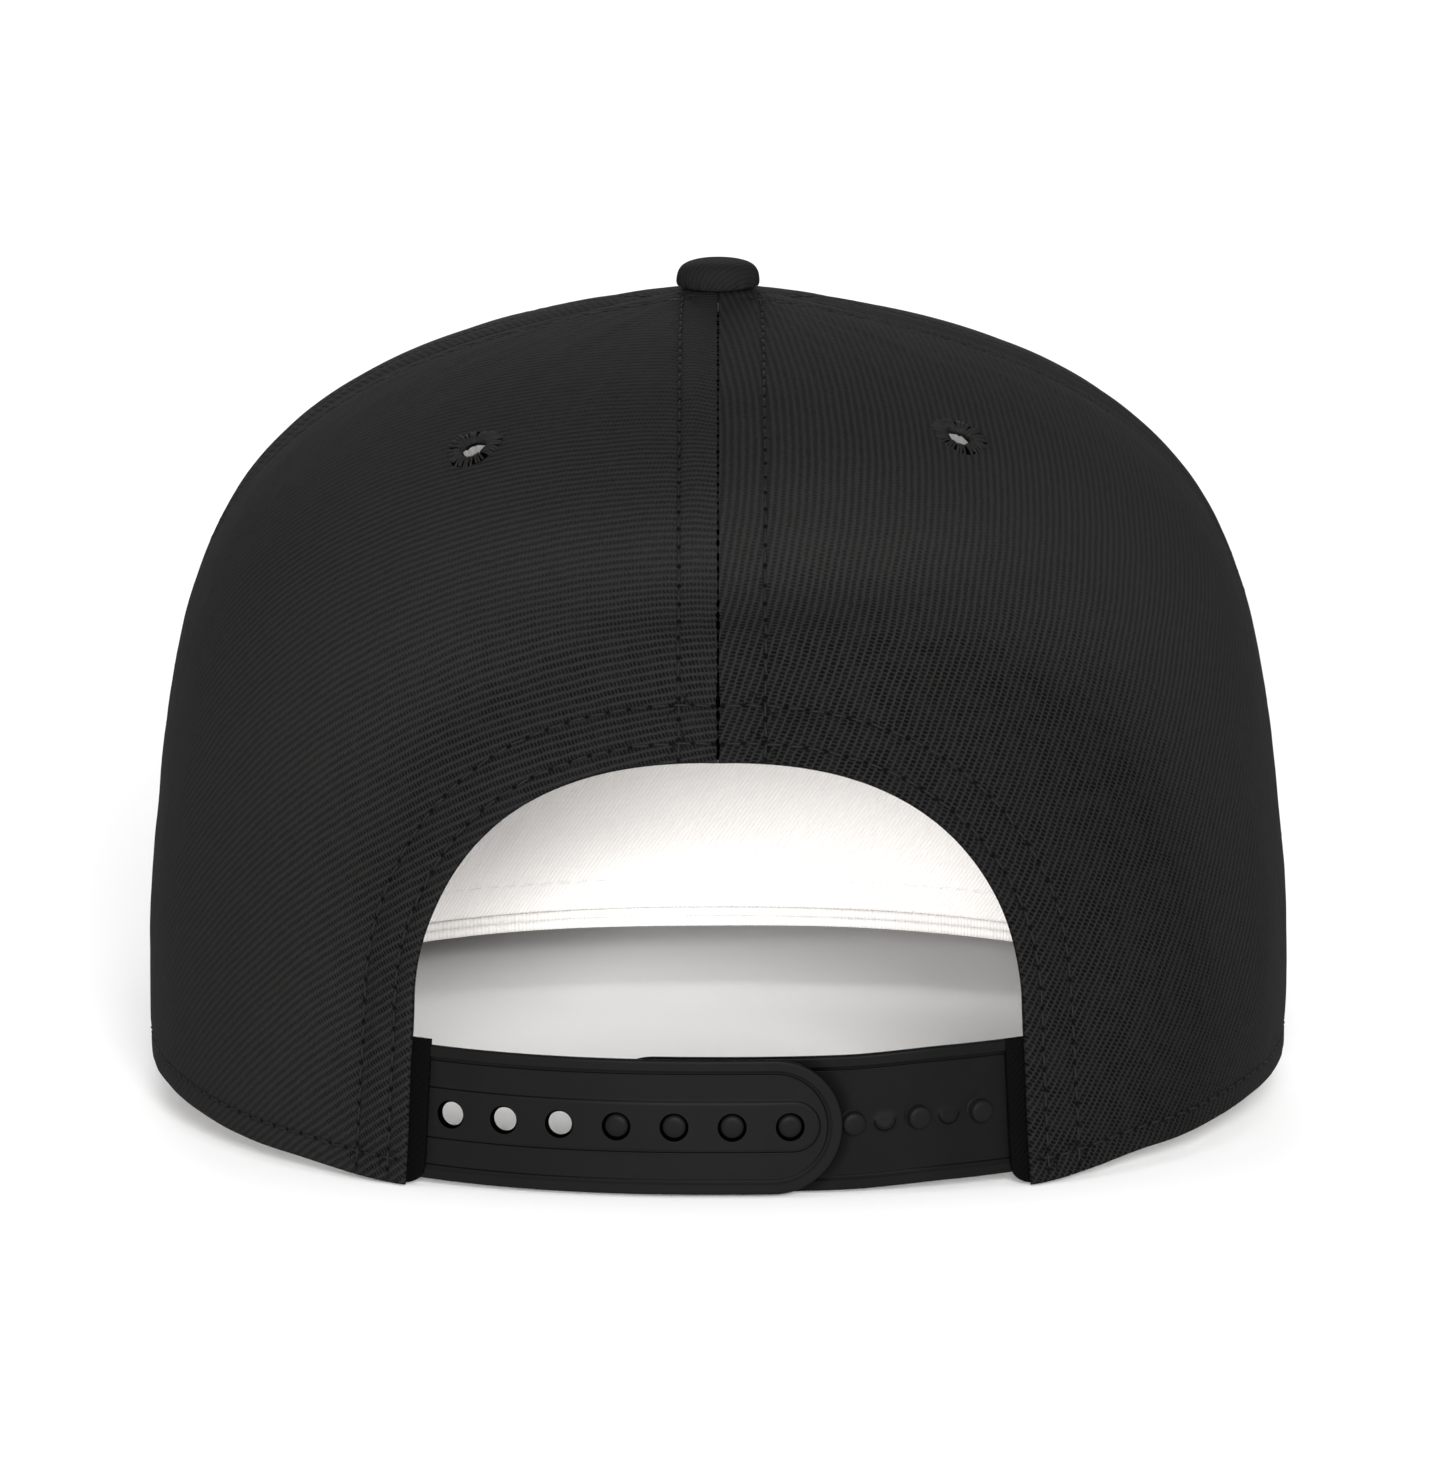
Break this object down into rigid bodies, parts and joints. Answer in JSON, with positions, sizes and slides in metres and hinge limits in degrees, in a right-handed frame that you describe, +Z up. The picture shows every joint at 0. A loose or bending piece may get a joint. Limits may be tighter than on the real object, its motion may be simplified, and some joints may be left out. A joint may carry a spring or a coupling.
{
  "type": "snapback cap",
  "caption": "Cap with a rounded cloth crown, a stiff front peak, a half-moon opening at the back and an adjustable snap strap across it.",
  "frame": {"origin": "middle of the box that the resting cap fills, on the surface it stands on", "axes": "+Z up, +Y to the back of the cap where the strap is, -Y where the peak points, +X to the wearer's left"},
  "size_m": [0.1784, 0.2634, 0.1308],
  "materials": {
    "cloth": "black cotton twill, matt",
    "thread": "black embroidery thread, faint sheen",
    "band": "off-white cotton, matt",
    "strap_plastic": "black moulded plastic, satin"
  },
  "bodies": {
    "root": {"front_panel": "cloth", "side_panel_left": "cloth", "side_panel_right": "cloth", "back_panel_left": "cloth", "back_panel_right": "cloth", "button": "cloth", "eyelet_side_left": "thread", "eyelet_side_right": "thread", "eyelet_back_left": "thread", "eyelet_back_right": "thread", "peak": "cloth", "sweatband": "band", "strap_holes": "strap_plastic", "strap_pegs": "strap_plastic"}
  },
  "joints": []
}
